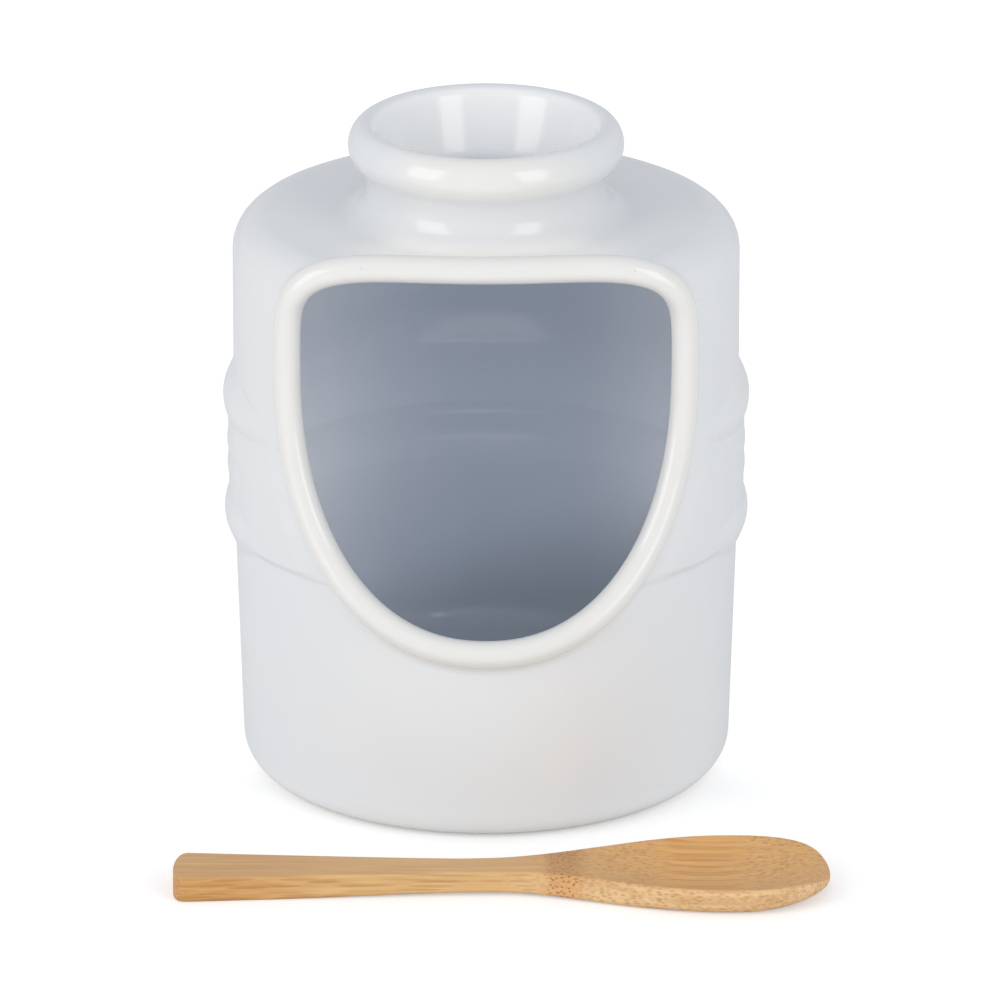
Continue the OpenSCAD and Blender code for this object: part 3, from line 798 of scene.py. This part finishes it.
def bamboo():
    m, t, b = nodes_of("bamboo_strip")
    g = Graph(t)
    # Long fibre bundles along the strip; a slanting cut shows them as dots, a lengthwise cut as streaks
    drift = g.node("ShaderNodeTexNoise", [("Vector", g.place(22.0, 90.0, 90.0)), ("Scale", 1.0), ("Detail", 1.0)])
    across = g.node("ShaderNodeSeparateXYZ", [(0, g.place(1.0, 1150.0, 1150.0))])
    shift = g.node("ShaderNodeSeparateColor", [(0, drift.outputs["Color"])])
    grid = g.node("ShaderNodeCombineXYZ", [
        (0, g.math("MULTIPLY_ADD", shift.outputs[0], 2.2, across.outputs[1])),
        (1, g.math("MULTIPLY_ADD", shift.outputs[1], 2.2, across.outputs[2]))]).outputs[0]
    cell_links = [("Vector", grid), ("Scale", 1.0), ("Randomness", 0.72)]
    cells = g.node("ShaderNodeTexVoronoi", cell_links, voronoi_dimensions="2D")
    vary = g.node("ShaderNodeSeparateColor", [(0, cells.outputs["Color"])])
    size = g.math("MULTIPLY_ADD", vary.outputs[0], 0.14, 0.27)
    bundle = g.ramp(g.math("DIVIDE", cells.outputs["Distance"], size), 1.2, 0.75)
    bundle = g.math("MULTIPLY", bundle, g.math("MULTIPLY_ADD", vary.outputs[1], 0.5, 0.5))
    # Short pores, where the cut runs out of the grain
    near_links = [(0, g.place(600.0, 1150.0, 1500.0)), (1, drift.outputs["Color"])]
    near = g.node("ShaderNodeVectorMath", near_links, operation="ADD")
    pores = g.node("ShaderNodeTexVoronoi", [("Vector", near.outputs[0]), ("Scale", 1.0), ("Randomness", 0.85)])
    odd = g.node("ShaderNodeSeparateColor", [(0, pores.outputs["Color"])])
    girth = g.math("MULTIPLY_ADD", odd.outputs[0], 0.12, 0.35)
    pore = g.ramp(g.math("DIVIDE", pores.outputs["Distance"], girth), 1.35, 0.5)
    pore = g.math("MULTIPLY", pore, g.math("MULTIPLY_ADD", odd.outputs[1], 0.5, 0.5))
    band = g.noise(g.place(16.0, 240.0, 380.0), 1.0, 3.0, 0.6)
    fine = g.noise(g.place(60.0, 1900.0, 2400.0), 1.0, 2.0)
    x = g.node("ShaderNodeSeparateXYZ", [(0, g.place())]).outputs[0]
    flank = g.attribute("flank")
    bowl = g.ramp(x, -0.005, 0.030)
    hollow = g.ramp(g.math("ABSOLUTE", g.math("SUBTRACT", x, 0.0460)), 0.0125, 0.0055)
    # Greyish tan on the handle's top, warmer in the bowl, yellow on the cut sides and amber at the handle's end
    face = g.blend(g.ramp(x, -0.055, -0.015), END_TAN, HANDLE_TAN)
    face = g.blend(bowl, face, BOWL_TAN)
    face = g.blend(g.ramp(x, 0.054, 0.070), face, NOSE_TAN)
    face = g.blend(hollow, face, HOLLOW_TAN)
    side = g.blend(g.ramp(x, -0.062, -0.025), END_SIDE, HANDLE_SIDE)
    side = g.blend(bowl, side, BOWL_SIDE)
    colour = g.blend(flank, face, side)
    streak = g.math("MULTIPLY", g.ramp(band, 0.58, 0.3), g.math("MULTIPLY_ADD", flank, 0.3, 0.3))
    colour = g.blend(streak, colour, STREAK)
    colour = g.blend(g.math("MULTIPLY", g.ramp(fine, 0.4, 0.75), 0.3), colour, PALE_FIBRE)
    bitten = g.math("MULTIPLY", bowl, g.math("MAXIMUM", flank, g.math("SUBTRACT", 1.0, hollow)))
    drawn = g.math("MULTIPLY_ADD", g.math("MAXIMUM", flank, hollow), 0.32, 0.22)
    drawn = g.math("MULTIPLY", drawn, g.math("MULTIPLY_ADD", bitten, -0.8, 1.0))
    colour = g.blend(g.math("MULTIPLY", bundle, drawn), colour, BUNDLE)
    pitted = g.math("MULTIPLY", pore, bitten)
    colour = g.blend(g.math("MULTIPLY", pitted, 0.6), colour, PORE)
    # Freckles at the joint of the cane
    joint = g.math("MULTIPLY", g.ramp(x, 0.0115, 0.0145), g.ramp(x, 0.0225, 0.0185))
    spots = g.node("ShaderNodeTexVoronoi", [("Vector", g.place(900.0, 1500.0, 1500.0)), ("Scale", 1.0)])
    spot = g.ramp(spots.outputs["Distance"], 0.42, 0.22)
    colour = g.blend(g.math("MULTIPLY", joint, 0.5), colour, g.blend(flank, JOINT_TOP, JOINT_SIDE))
    colour = g.blend(g.math("MULTIPLY", g.math("MULTIPLY", joint, spot), 0.7), colour, FRECKLE)
    t.links.new(colour, b.inputs["Base Color"])
    b.inputs["Roughness"].default_value = 0.5
    rough = g.math("SUBTRACT", fine, pitted)
    dent = g.node("ShaderNodeBump", [("Strength", 0.25), ("Distance", 0.0002), ("Height", rough)])
    t.links.new(dent.outputs[0], b.inputs["Normal"])
    return m


jar.data.materials.append(glaze())
spoon.data.materials.append(bamboo())

# Floor, light and camera
floor_me = bpy.data.meshes.new("floor")
FAR = 4
floor_me.from_pydata([(-FAR, -FAR, 0), (FAR, -FAR, 0), (FAR, FAR, 0), (-FAR, FAR, 0)], [], [(0, 1, 2, 3)])
floor = bpy.data.objects.new("floor", floor_me)
bpy.context.scene.collection.objects.link(floor)
fm, ft, fb = nodes_of("floor_white")
ft.nodes.remove(fb)
fg = Graph(ft)
# The floor seen by the camera is near white, and a little less so in an ellipse around the object; its glow is
# stronger outside the ellipse, which is painted light that washes out the object's shadow there
spot = fg.node("ShaderNodeMapping", [(0, fg.place()), (1, (0.0, 1.17, 0.0)), (3, (11.4, 16.7, 0.0))]).outputs[0]
away = fg.node("ShaderNodeVectorMath", [(0, spot)], operation="LENGTH").outputs["Value"]
plain = fg.node("ShaderNodeBsdfDiffuse", [("Color", (0.70, 0.695, 0.69, 1))])
glow = fg.node("ShaderNodeEmission", [("Strength", fg.ramp(away, 1.0, 1.3, 0.42, 0.52))])
seen = fg.node("ShaderNodeAddShader", [(0, plain.outputs[0]), (1, glow.outputs[0])])
unseen = fg.node("ShaderNodeBsdfDiffuse", [("Color", (0.88, 0.88, 0.88, 1))])
path = fg.node("ShaderNodeLightPath")
before = fg.ramp(fg.node("ShaderNodeSeparateXYZ", [(0, fg.place())]).outputs[1], -0.09, -0.14)
looked = fg.math("MAXIMUM", path.outputs["Is Camera Ray"], fg.math("MULTIPLY", path.outputs["Is Glossy Ray"], before))
mix = fg.node("ShaderNodeMixShader", [(0, looked), (1, unseen.outputs[0]), (2, seen.outputs[0])])
ft.links.new(mix.outputs[0], ft.nodes["Material Output"].inputs["Surface"])
floor_me.materials.append(fm)

world = bpy.data.worlds.new("studio")
bpy.context.scene.world = world
world.use_nodes = True
bg = world.node_tree.nodes["Background"]
bg.inputs["Color"].default_value = (0.955, 0.99, 1.05, 1)
bg.inputs["Strength"].default_value = 0.70


def area(name, place, size, power):
    li = bpy.data.lights.new(name, "AREA")
    li.shape = "RECTANGLE"
    li.size, li.size_y = size
    li.energy = power
    li.color = LAMP_COLOUR
    ob = bpy.data.objects.new(name, li)
    bpy.context.scene.collection.objects.link(ob)
    ob.location = place
    ob.rotation_euler = (Vector(LAMP_AIM) - Vector(place)).to_track_quat("-Z", "Y").to_euler()


LAMP_AIM, LAMP_COLOUR = (0, 0, 0.07), (1.0, 0.965, 0.90)
area("softbox_left", (-0.80, -0.62, 0.42), (0.55, 0.8), 3.7)
area("softbox_right", (0.64, -0.77, 0.42), (0.45, 0.8), 3.0)

cam_data = bpy.data.cameras.new("camera")
cam = bpy.data.objects.new("camera", cam_data)
bpy.context.scene.collection.objects.link(cam)
bpy.context.scene.camera = cam
ELEV, DIST = math.radians(20.0), 2.5
back = Vector((0, -math.cos(ELEV), math.sin(ELEV)))
up = Vector((0, math.sin(ELEV), math.cos(ELEV)))
target = Vector((0.00302, 0, 0.0716)) - up * 0.0108
cam.location = target + back * DIST
cam.rotation_euler = (-back).to_track_quat("-Z", "Y").to_euler()
cam_data.sensor_width = 36.0
cam_data.lens = 410.8
cam_data.clip_start, cam_data.clip_end = 0.1, 20.0

bpy.context.scene.view_settings.view_transform = "Standard"
